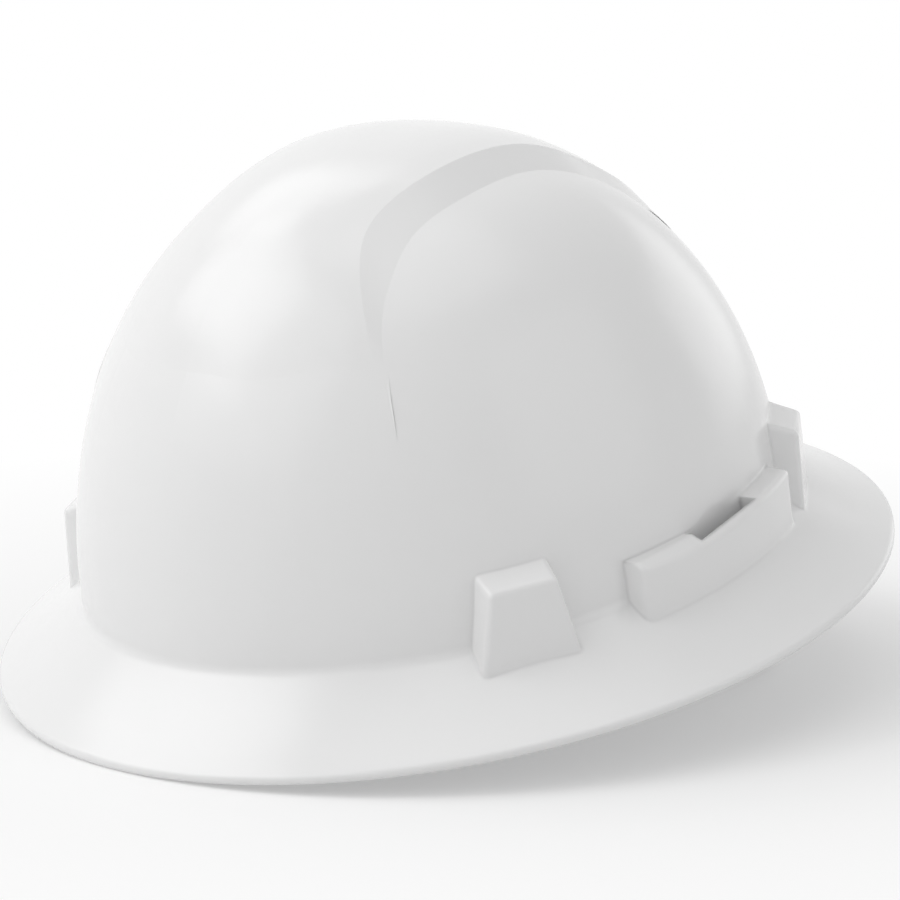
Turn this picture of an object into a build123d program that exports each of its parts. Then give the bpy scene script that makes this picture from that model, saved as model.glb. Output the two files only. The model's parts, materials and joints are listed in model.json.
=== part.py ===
from build123d import *
from math import acos, atan2, ceil, cos, hypot, pi, radians, sin, sqrt, tan, degrees
import os

os.makedirs("parts", exist_ok=True)

# All sizes are in millimetres. The hat is drafted with its rim plane at Z = 0,
# its front towards -Y and the wearer's left towards +X, and is leaned at the end.

# Fitting clearance, running clearance and the extra reach of cutting shapes
CLEAR, RUN, OVER = 0.3, 0.06, 1.0

# Shell: half length and half width of the dome's foot, and how far the brim stands out
FOOT_LONG, FOOT_WIDE, FOOT_Y, FOOT_Z = 122.84, 103.19, -3.52, 23.57
BRIM_LONG, BRIM_WIDE = 32.16, 32.41
RIM_LONG, RIM_WIDE = FOOT_LONG + BRIM_LONG, FOOT_WIDE + BRIM_WIDE
CROWN_RISE, CREST_RISE, CREST_SHRINK = 129.63, 5.5, 3.0
CROWN_Z = FOOT_Z + CROWN_RISE
POWER_FRONT, POWER_REAR, POWER_SIDE, POWER_UP = 0.766, 1.027, 0.77, 1.034
WALL, RIM_EDGE, RIM_ROUND, BRIM_SAG, FOOT_FILLET = 2.5, 2.6, 1.1, 1.3, 3.0

# The crest from its middle forwards and backwards: distance along the hat as a share of the
# dome's half length, then half widths of its top and of its foot as shares of the half width
CREST_SHARES = (
    (0, 0.3295, 0.409), (0.1954, 0.3237, 0.4109), (0.3419, 0.3217, 0.4167), (0.4396, 0.3392, 0.4419),
    (0.5129, 0.3876, 0.469), (0.578, 0.4603, 0.5136), (0.6268, 0.533, 0.5669), (0.6675, 0.596, 0.6163))
CREST_REAR_SHARES = ((0.2442, 0.3295, 0.4109), (0.4559, 0.3392, 0.4206), (0.6024, 0.3586, 0.4264))
CREST_END_SHARES = (0.7164, 0.7734, 0.8303)
CREST_FADE_SHARE = 0.3736
ROOF_SHARES = (0, 0.28, 0.55, 0.8, 1)
DOME_SHARES = (-0.07, 0.015, 0.12, 0.27, 0.43, 0.59, 0.73, 0.85, 0.935, 0.985)

# Suspension keys: a blade outside the wall, a bridge under it and a plate inside it
KEY_THICK, KEY_WIDE, KEY_OUT, KEY_CHAMFER, KEY_RISE = 3.4, 17.0, 1.2, 0.9, 12.03
KEY_TOP_Z = FOOT_Z + KEY_RISE
KEY_UNDER, KEY_BRIDGE, KEY_INSIDE, KEY_PLATE, KEY_PLATE_RISE = 1.17, 3.4, 1.5, 2.6, 9.43
KEY_BRIDGE_TOP_Z = FOOT_Z - WALL - KEY_UNDER
KEY_PLATE_IN, KEY_PLATE_TOP_Z = WALL + KEY_INSIDE, FOOT_Z + KEY_PLATE_RISE

# Key pockets moulded on the shell's foot, round the keys' blades
POCKET_FRONT_TURN, POCKET_REAR_TURN = 59.5, 50.0
POCKET_WALL, POCKET_SIDE, POCKET_FLARE, POCKET_IN = 2.4, 2.0, 5.5, 6.0
POCKET_OUT = KEY_OUT + KEY_THICK + CLEAR + POCKET_WALL
POCKET_TOP_HALF = KEY_WIDE / 2 + CLEAR + POCKET_SIDE
POCKET_FOOT_HALF = POCKET_TOP_HALF + POCKET_FLARE
POCKET_RISE_OUT, POCKET_RISE_IN, POCKET_ROUND, POCKET_DRAFT = 18.43, 23.93, 1.9, 1.2
POCKET_TOP_OUT_Z, POCKET_TOP_IN_Z = FOOT_Z + POCKET_RISE_OUT, FOOT_Z + POCKET_RISE_IN

# Accessory slots in their housings, one on each side
SLOT_Y, SLOT_LONG, SLOT_GAP, SLOT_END, SLOT_WALL = 12.5, 32.0, 5.3, 26.5, 2.1
SLOT_HOUSE_LONG, SLOT_OUT = SLOT_LONG + 2 * SLOT_END, SLOT_GAP + SLOT_WALL
SLOT_SINK, SLOT_RISE_OUT, SLOT_RISE_IN, SLOT_BITE, SLOT_LAND = 3.07, 7.93, 12.93, 0.8, 0.5
SLOT_FLOOR_Z = FOOT_Z - SLOT_SINK
SLOT_TOP_OUT_Z, SLOT_TOP_IN_Z = FOOT_Z + SLOT_RISE_OUT, FOOT_Z + SLOT_RISE_IN

# Crown straps with a hem at each end, and the keys' loops that hold them
STRAP_WIDE, STRAP_THICK, STRAP_IN_FRONT, STRAP_IN_REAR = 19.0, 1.2, 12.0, 11.6
LOOP_RAIL, LOOP_WALL, LOOP_RISE, LOOP_TALL, LOOP_ROUND = 3.0, 2.1, 2.43, 5.0, 1.4
LOOP_LONG, LOOP_DEEP = STRAP_WIDE + 2 * LOOP_RAIL, STRAP_THICK + 2 * (CLEAR + LOOP_WALL)
LOOP_BASE_Z = FOOT_Z + LOOP_RISE
HEM_THICK, HEM_TALL, HEM_GAP, STRAP_STRAIGHT, CROWN_GAP = 3.4, 3.6, 0.8, 3.0, 38.2
STRAP_LOWER = STRAP_THICK + 2 * CLEAR
STRAP_SPRING_Z = LOOP_BASE_Z + LOOP_TALL + STRAP_STRAIGHT
STRAP_END_Z, STRAP_CROWN_Z = LOOP_BASE_Z - HEM_TALL - HEM_GAP, CROWN_Z - CROWN_GAP
RIVET_R, RIVET_HEAD_R, RIVET_HEAD, RIVET_ROUND = 2.5, 7.0, 1.4, 0.5

# Head band inside the dome, its hangers and pegs, and the brow pad
BAND_OFF_LONG, BAND_OFF_WIDE, BAND_THICK = 18.24, 20.59, 1.6
BAND_LONG, BAND_WIDE = FOOT_LONG - BAND_OFF_LONG, FOOT_WIDE - BAND_OFF_WIDE
BAND_RISE, BAND_TALL, BAND_REAR_TALL, BAND_STEP = 2.43, 32.0, 22.0, 12.0
BAND_TOP_Z = FOOT_Z + BAND_RISE
BAND_LOW_Z, BAND_REAR_LOW_Z = BAND_TOP_Z - BAND_TALL, BAND_TOP_Z - BAND_REAR_TALL
BAND_END_TURN, TAIL_TURN = 138.0, 94.0
PEG_DROP, PEG_STEP, PEG_R, PEG_HEAD_R, PEG_HEAD = 7.9, 7.0, 2.2, 4.0, 1.5
HANGER_THICK, HANGER_HALF, HANGER_DROP = 2.0, 7.0, 8.0
PEG_Z = KEY_BRIDGE_TOP_Z - PEG_DROP
HANGER_LOW_Z = PEG_Z - HANGER_DROP
BROW_THICK, BROW_TURN, BROW_SHIFT = 3.2, 45.0, 2.0
BROW_LOW_Z, BROW_TOP_Z = BAND_LOW_Z - BROW_SHIFT, BAND_TOP_Z - BROW_SHIFT

# Ratchet at the nape, drafted in layers on an arc about a vertical axis
COVER_R, COVER_THICK, RACK_THICK, LAYER_GAP, HOUSE_WALL = 88.0, 1.6, 1.2, 0.4, 2.2
NAPE_IN, NAPE_DROP = 2.6, 24.0
NAPE_Y, NAPE_Z = BAND_LONG - COVER_R - NAPE_IN, BAND_LOW_Z - NAPE_DROP
RACK_IN_R = COVER_R + COVER_THICK + LAYER_GAP
RACK_OUT_R = RACK_IN_R + RACK_THICK + LAYER_GAP
HOUSE_IN_R = RACK_OUT_R + RACK_THICK + LAYER_GAP
HOUSE_OUT_R = HOUSE_IN_R + HOUSE_WALL
RACK_HALF, HOUSE_RAIL, HOUSE_DEEPER = 10.0, 2.3, 4.6
HOUSE_END_HALF = RACK_HALF + CLEAR + HOUSE_RAIL
HOUSE_HALF, HOUSE_TURN, HOUSE_FLAT, HOUSE_LIP = HOUSE_END_HALF + HOUSE_DEEPER, 38.0, 24.0, 4.0

# Racks and pinion: travel of each rack from its rest place, and its way per millimetre of slide
MODULE, PINION_TEETH, PRESSURE = 1.0, 12, 20.0
PINION_ADD, RACK_ADD, ROOT_CLEAR, BACKLASH = 0.7, 0.6, 0.2, 0.14
PITCH_R, TOOTH_PITCH = MODULE * PINION_TEETH / 2, pi * MODULE
TIGHTEN, LOOSEN, RACK_PER_SLIDE = 25.0, 25.0, 1.5
RACK_SPARE, RACK_GRIP = 5.0, 16.0
RACK_TIP, WINDOW_LONG = LOOSEN + PITCH_R + RACK_SPARE, TIGHTEN + PITCH_R + RACK_SPARE * 0.6
RACK_END = WINDOW_LONG + RACK_GRIP
TAIL_LEAD = RACK_END + LOOSEN + OVER

# Detent in the housing's boss, and the knob on the pinion's stem
DETENT_R, DETENT_TEETH, DETENT_RISE = 12.6, 24, 1.0
DETENT_ARM, DETENT_GAP, DETENT_TIP, DETENT_SHOULDER = 1.6, 2.0, 1.0, 1.2
BOSS_WALL, BOSS_TALL = 3.4, 5.0
BOSS_R = DETENT_R + DETENT_RISE + BOSS_WALL
SHAFT_R, PIVOT_R, HEX_R, STEM_STEP = 4.0, 2.5, 3.2, 0.5
KNOB_R, KNOB_LONG, KNOB_GRIPS, KNOB_GRIP_R, KNOB_ROUND, KNOB_SINK = 15.6, 13.0, 12, 2.4, 2.0, 3.4
SCREW_R, SCREW_HEAD_R, SCREW_HEAD, SCREW_LONG, SCREW_SINK, SCREW_INSET = 1.1, 2.1, 1.0, 6.0, 0.1, 3.4
PAD_THICK, PAD_HALF, PAD_TURN, PAD_ROUND = 5.6, 13.0, 26.0, 1.5

# Along the knob's axis, outwards from the cover
COVER_Y0 = NAPE_Y + COVER_R
GEAR_Y0, GEAR_Y1 = NAPE_Y + RACK_IN_R - LAYER_GAP / 2, NAPE_Y + HOUSE_IN_R - LAYER_GAP
WALL_Y1 = NAPE_Y + HOUSE_OUT_R
BOSS_Y1 = WALL_Y1 + BOSS_TALL
KNOB_Y0 = BOSS_Y1 + CLEAR
KNOB_Y1 = KNOB_Y0 + KNOB_LONG

# The hat stands on the front of its rim and on the lower edge of the housing
NAPE_LOW_Y = NAPE_Y + sqrt(COVER_R ** 2 - HOUSE_FLAT ** 2)
LEAN = degrees(atan2(HOUSE_HALF - NAPE_Z, RIM_LONG + NAPE_LOW_Y))


def box(x0, x1, y0, y1, z0, z1):
    centre = Vector((x0 + x1) / 2, (y0 + y1) / 2, (z0 + z1) / 2)
    return Pos(centre) * Box(x1 - x0, y1 - y0, z1 - z0)


def rod(r, y0, y1, x=0.0, z=0.0):
    return Pos(x, (y0 + y1) / 2, z) * Rot(90, 0, 0) * Cylinder(r, y1 - y0)


def oval(long, wide, z, y=0.0):
    return Plane((0, y, z)) * Ellipse(wide, long)


def mirrored(shape):
    return mirror(shape, about=Plane.YZ)


# Height and width rules of the domed shell
def power(turn):
    ahead = POWER_FRONT if cos(turn) > 0 else POWER_REAR
    return ahead * cos(turn) ** 2 + POWER_SIDE * sin(turn) ** 2


def dome_loop(z, top, less):
    share = max(0.0, (z - FOOT_Z) / (top - FOOT_Z)) ** (1 / POWER_UP)
    level = sqrt(max(0.0, 1 - share ** 2))
    points = []
    for k in range(28):
        turn = 2 * pi * k / 28
        reach = level ** power(turn)
        points.append((
            (FOOT_WIDE - less) * sin(turn) * reach,
            FOOT_Y - (FOOT_LONG - less) * cos(turn) * reach, z))
    return Spline(*points, periodic=True)


def dome_height(x, y, top, less):
    across, along = x / (FOOT_WIDE - less), (y - FOOT_Y) / (FOOT_LONG - less)
    reach = min(1.0, hypot(across, along))
    level = reach ** (1 / power(atan2(across, -along)))
    return FOOT_Z + (top - FOOT_Z) * sqrt(max(0.0, 1 - level ** 2)) ** POWER_UP


def dome(top, less):
    heights = [FOOT_Z + (top - FOOT_Z) * share for share in DOME_SHARES]
    return loft([make_face(dome_loop(z, top, less)) for z in heights])


def crest(top, less, narrow):
    base_top = top - CREST_RISE
    fade = (CREST_FADE_SHARE * CROWN_RISE / (top - FOOT_Z)) ** (1 / POWER_UP)
    stations = [(-share, a, b) for share, a, b in reversed(CREST_SHARES)] + list(CREST_REAR_SHARES)
    stations = [(-share, None, None) for share in reversed(CREST_END_SHARES)] + stations
    stations = stations + [(share, None, None) for share in CREST_END_SHARES]
    faces = []
    for station, edge_share, foot_share in stations:
        y = station * FOOT_LONG
        along = (y - FOOT_Y) / (FOOT_LONG - less - CREST_SHRINK)
        if edge_share is None:
            reach = sqrt(1 - fade ** 2) ** (POWER_FRONT if y < 0 else POWER_REAR)
            edge = (FOOT_WIDE - less - CREST_SHRINK) * sqrt(max(0.02, reach ** 2 - along ** 2))
            foot = edge + CLEAR * 4
        else:
            edge, foot = edge_share * FOOT_WIDE, foot_share * FOOT_WIDE
        edge, foot = edge - narrow, foot - narrow
        top_z = dome_height(edge, y, top, less + CREST_SHRINK)
        foot_z = dome_height(foot, y, base_top, less)
        foot_z = min(foot_z, top_z - CLEAR * 4)
        deep = 1.35
        foot_x = edge + (foot - edge) * deep
        foot_z = top_z + (foot_z - top_z) * deep
        # The left half of the section, level where it meets its mirror image
        def rise_at(share):
            return (edge * share, y, dome_height(edge * share, y, top, less + CREST_SHRINK))
        arc = [rise_at(share) for share in ROOF_SHARES]
        ending = Vector(rise_at(1)) - Vector(rise_at(0.97))
        roof = Spline(*arc, tangents=[(1, 0, 0), ending.normalized()])
        low, root = (foot_x, y, foot_z), (0, y, foot_z)
        loop = Wire([roof, Line(arc[-1], low), Line(low, root), Line(root, arc[0])])
        faces.append(Face(loop))
    return loft(faces)


# Places on the foot of the dome, with the outward direction as X and up as Z
def foot_plane(turn, side=1, rear=False):
    t = radians(turn)
    x = FOOT_WIDE * sin(t)
    y = FOOT_Y + (FOOT_LONG * cos(t) if rear else -FOOT_LONG * cos(t))
    nx, ny = x / FOOT_WIDE ** 2, (y - FOOT_Y) / FOOT_LONG ** 2
    size = hypot(nx, ny)
    return Plane((side * x, y, 0), x_dir=(side * nx / size, ny / size, 0), z_dir=(0, 0, 1))


def pocket_boss():
    def section(out, foot_half, top_half, top_z):
        points = [(-foot_half, FOOT_Z / 3), (foot_half, FOOT_Z / 3), (top_half, top_z), (-top_half, top_z)]
        return Plane((out, 0, 0), x_dir=(0, 1, 0), z_dir=(1, 0, 0)) * make_face(Polyline(*points, close=True))
    slope = POCKET_FOOT_HALF + (POCKET_FOOT_HALF - POCKET_TOP_HALF) / 3
    outer = section(POCKET_OUT, slope, POCKET_TOP_HALF, POCKET_TOP_OUT_Z)
    inner = section(-POCKET_IN, slope + POCKET_DRAFT, POCKET_TOP_HALF + POCKET_DRAFT, POCKET_TOP_IN_Z)
    boss = loft([inner, outer], ruled=True)
    sides = boss.edges().filter_by(lambda e: abs(e.tangent_at(0.5).X) > 0.9 and e.center().Z > FOOT_Z)
    boss = fillet(sides, POCKET_ROUND)
    front = boss.faces().sort_by(Axis.X)[-1]
    return fillet(front.edges().sort_by(Axis.Z)[1:], POCKET_ROUND * 0.9)


# The moulded shell: dome, crest, brim, four key pockets and two accessory slots
def brim_cone(sink, shrink):
    drop = sink / cos(atan2(FOOT_Z - RIM_EDGE, RIM_LONG - FOOT_LONG))
    faces = []
    for share, sag in ((0, 0), (0.5, BRIM_SAG), (1, 0), (1.25, -BRIM_SAG)):
        long = RIM_LONG + (FOOT_LONG - RIM_LONG) * share
        wide = RIM_WIDE + (FOOT_WIDE - RIM_WIDE) * share
        z = RIM_EDGE + (FOOT_Z - RIM_EDGE) * share - sag - drop
        inset = shrink if share == 0 else 0
        faces.append(make_face(oval(long - inset, wide - inset, z, FOOT_Y * share).edges()))
    return loft(faces)


def slot_house():
    ring = extrude(oval(FOOT_LONG + SLOT_OUT, FOOT_WIDE + SLOT_OUT, 0, FOOT_Y), SLOT_TOP_IN_Z)
    low, high = SLOT_Y - SLOT_HOUSE_LONG / 2, SLOT_Y + SLOT_HOUSE_LONG / 2
    block = ring & box(FOOT_WIDE * 0.72, RIM_WIDE, low, high, FOOT_Z / 3, SLOT_TOP_IN_Z)
    slope = SLOT_TOP_IN_Z - SLOT_TOP_OUT_Z
    edge_x, deep = FOOT_WIDE + SLOT_OUT, SLOT_OUT * 2
    roof = Plane.XZ * make_face(Polyline(
        (edge_x + deep, SLOT_TOP_OUT_Z - slope), (edge_x + deep, SLOT_TOP_IN_Z + deep),
        (edge_x - deep, SLOT_TOP_IN_Z + deep), (edge_x - deep, SLOT_TOP_IN_Z + slope), close=True))
    block = block - extrude(roof, RIM_LONG, both=True)
    upright = block.edges().filter_by(lambda e: abs(e.tangent_at(0.5).Z) > 0.95)
    ends = upright.filter_by(lambda e: e.center().X > FOOT_WIDE * 0.87)
    block = fillet(ends, POCKET_ROUND * 1.5)
    outer = block.faces().filter_by(lambda f: f.center().X > FOOT_WIDE * 0.97)
    outer = outer.filter_by(lambda f: f.geom_type != GeomType.PLANE)
    rims = outer.edges().filter_by(lambda e: abs(e.tangent_at(0.5).Z) < 0.6)
    rims = rims.filter_by(lambda e: e.center().Z > SLOT_TOP_OUT_Z - SLOT_OUT / 2)
    return fillet(rims, POCKET_ROUND * 0.8)


def half_shell():
    # The left half only: the right half is its mirror image
    half = box(0, RIM_WIDE * 2, -RIM_LONG * 2, RIM_LONG * 2, -FOOT_Z * 2, CROWN_Z * 2)
    outer = dome(CROWN_Z - CREST_RISE, 0)
    outer = outer + brim_cone(0, 0) + extrude(oval(RIM_LONG, RIM_WIDE, 0), RIM_EDGE)
    rim = outer.edges().filter_by(lambda e: e.center().Z < RIM_EDGE + RUN and e.length > RIM_LONG)
    outer = fillet(rim, RIM_ROUND)
    foot = outer.edges().filter_by(lambda e: abs(e.center().Z - FOOT_Z) < WALL and e.length > RIM_LONG)
    outer = fillet(foot, FOOT_FILLET) & half
    outer = outer + crest(CROWN_Z, 0, 0)
    boss = pocket_boss()
    outer = outer + foot_plane(POCKET_FRONT_TURN) * boss + foot_plane(POCKET_REAR_TURN, 1, True) * boss
    outer = outer + slot_house()
    inner = dome(CROWN_Z - CREST_RISE - WALL, WALL) & half
    inner = inner + crest(CROWN_Z - WALL, WALL, WALL * 0.6)
    shell = outer - inner
    hollow = brim_cone(WALL, RIM_EDGE)
    lip = oval(RIM_LONG - RIM_EDGE, RIM_WIDE - RIM_EDGE, 0)
    hollow = (hollow + extrude(lip, -FOOT_Z)) & half
    return shell - hollow


# The places of the four keys: foot plane, peg depth and strap end
def key_spots():
    spots = {}
    for side, hand in ((1, "left"), (-1, "right")):
        spots["front_" + hand] = foot_plane(POCKET_FRONT_TURN, side)
        spots["rear_" + hand] = foot_plane(POCKET_REAR_TURN, side, True)
    return spots


def band_gap(spot):
    # Distance inward along the spot's X axis to the head band's outer face
    low, high = 0.0, RIM_WIDE / 3
    for _ in range(40):
        middle = (low + high) / 2
        p = spot.origin - spot.x_dir * middle
        outside = hypot(p.X / BAND_WIDE, p.Y / BAND_LONG) > 1
        low, high = (middle, high) if outside else (low, middle)
    return low


def strap_line(front, rear):
    a, b = front.origin, rear.origin
    share = a.X / (a.X - b.X)
    cross = Vector(0, a.Y + (b.Y - a.Y) * share, 0)
    ahead = (Vector(a.X, a.Y, 0) - cross)
    plane = Plane(cross, x_dir=ahead.normalized(), z_dir=ahead.normalized().cross(Vector(0, 0, 1)))
    return plane, ahead.length - STRAP_IN_FRONT, (Vector(b.X, b.Y, 0) - cross).length - STRAP_IN_REAR


def strap_solid(front, rear, lower):
    plane, reach_front, reach_rear = strap_line(front, rear)
    crown = STRAP_CROWN_Z - lower
    outer, inner = [], []
    for k in range(-8, 9):
        t = pi / 2 * k / 8
        reach = reach_front if t > 0 else reach_rear
        x, z = reach * sin(t), STRAP_SPRING_Z + (crown - STRAP_SPRING_Z) * cos(t)
        nx, nz = sin(t) / reach, cos(t) / (crown - STRAP_SPRING_Z)
        size = hypot(nx, nz)
        half = STRAP_THICK / 2
        outer.append((x + nx / size * half, z + nz / size * half))
        inner.append((x - nx / size * half, z - nz / size * half))
    ends = [(outer[-1][0], STRAP_END_Z), (inner[-1][0], STRAP_END_Z)]
    tails = [(inner[0][0], STRAP_END_Z), (outer[0][0], STRAP_END_Z)]
    arch = Spline(*outer) + Line(outer[-1], ends[0]) + Line(ends[0], ends[1]) + Line(ends[1], inner[-1])
    arch = arch + Spline(*reversed(inner)) + Line(inner[0], tails[0]) + Line(tails[0], tails[1])
    arch = arch + Line(tails[1], outer[0])
    face = plane * make_face(arch.edges())
    strap = extrude(face, STRAP_WIDE / 2, both=True)
    for reach in (reach_front, -reach_rear):
        hem = Pos(reach, 0, 0) * box(-HEM_THICK / 2, HEM_THICK / 2, STRAP_END_Z, STRAP_END_Z + HEM_TALL,
                                     -STRAP_WIDE / 2, STRAP_WIDE / 2)
        strap = strap + plane * hem
    return strap


def key_solid(spot, plane, reach):
    # A hook over the lower edge of the shell wall, with a strap loop and a hanger
    half = KEY_WIDE / 2
    bridge_z = KEY_BRIDGE_TOP_Z - KEY_BRIDGE
    inner_x = -KEY_PLATE_IN - KEY_PLATE
    hang_x = -band_gap(spot) + CLEAR
    blade = box(KEY_OUT, KEY_OUT + KEY_THICK, -half, half, bridge_z, KEY_TOP_Z)
    blade = chamfer(blade.edges().filter_by(Axis.Z), KEY_CHAMFER)
    bridge = box(inner_x, KEY_OUT + KEY_THICK, -half, half, bridge_z, KEY_BRIDGE_TOP_Z)
    plate = box(inner_x, -KEY_PLATE_IN, -half, half, bridge_z, KEY_PLATE_TOP_Z)
    arm = box(hang_x, inner_x + KEY_PLATE / 2, -half * 0.7, half * 0.7, bridge_z, KEY_BRIDGE_TOP_Z)
    tab = box(hang_x, hang_x + HANGER_THICK, -HANGER_HALF, HANGER_HALF, HANGER_LOW_Z, KEY_BRIDGE_TOP_Z)
    tab = fillet(tab.edges().filter_by(Axis.X).sort_by(Axis.Z)[:2], HANGER_HALF * 0.6)
    hole = Pos(hang_x, 0, PEG_Z) * Rot(0, 90, 0) * Cylinder(PEG_R + 2 * RUN, RIM_WIDE / 4)
    key = spot * (blade + bridge + plate + arm + tab - hole)
    mid = LOOP_BASE_Z + LOOP_TALL / 2
    loop = Pos(reach, mid, 0) * Box(LOOP_DEEP, LOOP_TALL, LOOP_LONG)
    loop = fillet(loop.edges().filter_by(Axis.Y), LOOP_ROUND)
    grow = abs(reach) / reach
    neck = Pos(reach + grow * LOOP_DEEP * 0.8, mid, 0) * Box(LOOP_DEEP, LOOP_TALL, KEY_WIDE * 0.8)
    window = Pos(reach, mid, 0) * Box(STRAP_THICK + 2 * CLEAR, LOOP_TALL * 2, STRAP_WIDE + 4 * CLEAR)
    return key + plane * (loop + neck - window) - plane * window


def peg_solid(spot):
    hang_x = -band_gap(spot) + CLEAR
    out = hang_x + HANGER_THICK
    deep = hang_x - CLEAR - BAND_THICK - PEG_HEAD
    stem = Pos((out + deep) / 2, 0, PEG_Z) * Rot(0, 90, 0) * Cylinder(PEG_R, out - deep)
    head = Pos(out + PEG_HEAD / 2, 0, PEG_Z) * Rot(0, 90, 0) * Cylinder(PEG_HEAD_R, PEG_HEAD)
    head = fillet(head.edges().sort_by(Axis.X)[-1:], PEG_HEAD / 3)
    return spot * (stem + head)


# The head band, its brow pad and the two tails that lead down to the ratchet
def oval_ring(long, wide, thick, low, high):
    ring = make_face(oval(long, wide, 0).edges()) - make_face(oval(long - thick, wide - thick, 0).edges())
    return Pos(0, 0, low) * extrude(ring, high - low)


def side_profile(points):
    return extrude(Plane.YZ * make_face(Polyline(*points, close=True)), RIM_WIDE, both=True)


def band_solid(spots):
    ring = oval_ring(BAND_LONG, BAND_WIDE, BAND_THICK, BAND_LOW_Z, BAND_TOP_Z)
    end_y = -BAND_LONG * cos(radians(BAND_END_TURN))
    step_y, far = BAND_LONG * 0.26, RIM_LONG
    ring = ring & side_profile([
        (-far, BAND_LOW_Z), (step_y, BAND_LOW_Z), (step_y + BAND_STEP, BAND_REAR_LOW_Z),
        (end_y, BAND_REAR_LOW_Z), (end_y, BAND_TOP_Z), (-far, BAND_TOP_Z)])
    for spot in spots.values():
        gap = band_gap(spot)
        for step in (-1, 0, 1):
            z = PEG_Z + step * PEG_STEP
            hole = Pos(-gap, 0, z) * Rot(0, 90, 0) * Cylinder(PEG_R + 2 * RUN, BAND_THICK * 5)
            ring = ring - spot * hole
    return ring


def brow_solid():
    inset = BAND_THICK + RUN
    ring = oval_ring(BAND_LONG - inset, BAND_WIDE - inset, BROW_THICK, BROW_LOW_Z, BROW_TOP_Z)
    cut_y = -BAND_LONG * cos(radians(BROW_TURN))
    return ring & box(-RIM_WIDE, RIM_WIDE, -RIM_LONG, cut_y, BROW_LOW_Z, BROW_TOP_Z)


def nape(r, degrees_left):
    t = radians(degrees_left)
    return (r * sin(t), NAPE_Y + r * cos(t))


def arc_block(r0, r1, turn0, turn1, low, high):
    # A curved bar between two radii and two turns about the nape's vertical axis
    middle = (turn0 + turn1) / 2
    outer = ThreePointArc(nape(r1, turn0), nape(r1, middle), nape(r1, turn1))
    inner = ThreePointArc(nape(r0, turn1), nape(r0, middle), nape(r0, turn0))
    loop = outer + Line(nape(r1, turn1), nape(r0, turn1)) + inner + Line(nape(r0, turn0), nape(r1, turn0))
    return Pos(0, 0, low) * extrude(make_face(loop), high - low)


def turn_of(arc, r):
    return degrees(arc / r)


def rack_solid(r, teeth_up, side):
    # Arc lengths run from the middle of the nape, positive to the rack's own side
    def at(arc):
        return turn_of(arc * side, r + RACK_THICK / 2)
    lo, hi = sorted((at(-RACK_TIP), at(RACK_END)))
    bar = arc_block(r, r + RACK_THICK, lo, hi, NAPE_Z - RACK_HALF, NAPE_Z + RACK_HALF)
    add, root = MODULE * RACK_ADD, MODULE * (PINION_ADD + ROOT_CLEAR)
    teeth_root, plain = PITCH_R + root, PITCH_R + MODULE * PINION_ADD + CLEAR * 2
    up, down = (teeth_root, plain) if teeth_up else (plain, teeth_root)
    lo, hi = sorted((at(-RACK_TIP + RACK_SPARE * 0.8), at(WINDOW_LONG)))
    bar = bar - arc_block(r - OVER, r + RACK_THICK + OVER, lo, hi, NAPE_Z - down, NAPE_Z + up)
    slope = tan(radians(PRESSURE))
    half_root = TOOTH_PITCH / 4 + root * slope - BACKLASH / 4
    half_tip = TOOTH_PITCH / 4 - add * slope - BACKLASH / 4
    high, low = teeth_root + OVER, PITCH_R - add
    sign = 1 if teeth_up else -1
    flank = [(half_root, sign * high), (half_root, sign * teeth_root), (half_tip, sign * low)]
    flank = flank + [(-x, z) for x, z in reversed(flank)]
    tooth = extrude(Plane.XZ * make_face(Polyline(*flank, close=True)), RACK_THICK / 2, both=True)
    tooth = Pos(0, r + RACK_THICK / 2, NAPE_Z) * tooth
    first = ceil((-RACK_TIP + RACK_SPARE) / TOOTH_PITCH)
    last = int((WINDOW_LONG - RACK_SPARE * 0.4) / TOOTH_PITCH)
    teeth = []
    for k in range(first, last + 1):
        turned = Rot(0, 0, -at((k + 0.5) * TOOTH_PITCH)) * tooth
        teeth.append(Pos(0, NAPE_Y, 0) * turned)
    return bar + teeth


def involute(rb, r):
    a = sqrt(max(0.0, (r / rb) ** 2 - 1))
    return a - atan2(a, 1)


def gear_face():
    rb = PITCH_R * cos(radians(PRESSURE))
    tip, root = PITCH_R + MODULE * PINION_ADD, PITCH_R - MODULE * (RACK_ADD + ROOT_CLEAR)
    half = (pi * MODULE / 2 - BACKLASH / 2) / PITCH_R / 2 + involute(rb, PITCH_R)
    radii = [root] + [max(rb, root) + (tip - max(rb, root)) * k / 4 for k in range(5)]
    points = []
    for k in range(PINION_TEETH):
        middle = 2 * pi * k / PINION_TEETH
        left = [(r, middle - half + involute(rb, max(r, rb))) for r in radii]
        right = [(r, middle + half - involute(rb, max(r, rb))) for r in reversed(radii)]
        points += [(r * cos(a), r * sin(a)) for r, a in left + right]
    return make_face(Polyline(*points, close=True))


def axial(face, y0, y1):
    # A face drawn in X and Z, extruded along the knob's axis
    plane = Plane((0, y0, NAPE_Z), x_dir=(1, 0, 0), z_dir=(0, 1, 0))
    return extrude(plane * face, y1 - y0)


def nape_outline(grow):
    # Front outline of the housing: a deep middle and shallower arms
    end = (COVER_R + HOUSE_OUT_R) / 2 * sin(radians(HOUSE_TURN)) + HOUSE_LIP
    half, tip, flat = HOUSE_HALF + grow, HOUSE_END_HALF + grow, HOUSE_FLAT + grow
    points = [(-flat, half), (flat, half), (end, tip), (end, -tip)]
    points = points + [(-x, -z) for x, z in points]
    face = make_face(Polyline(*points, close=True))
    face = fillet(face.vertices(), HOUSE_END_HALF / 2)
    return extrude(Plane((0, 0, NAPE_Z), x_dir=(1, 0, 0), z_dir=(0, 1, 0)) * face, RIM_LONG)


def screw_spots():
    x, z = HOUSE_FLAT * 0.86, RACK_HALF + CLEAR + SCREW_INSET
    return [(sx * x, NAPE_Z + sz * z) for sx in (1, -1) for sz in (1, -1)]

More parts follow.
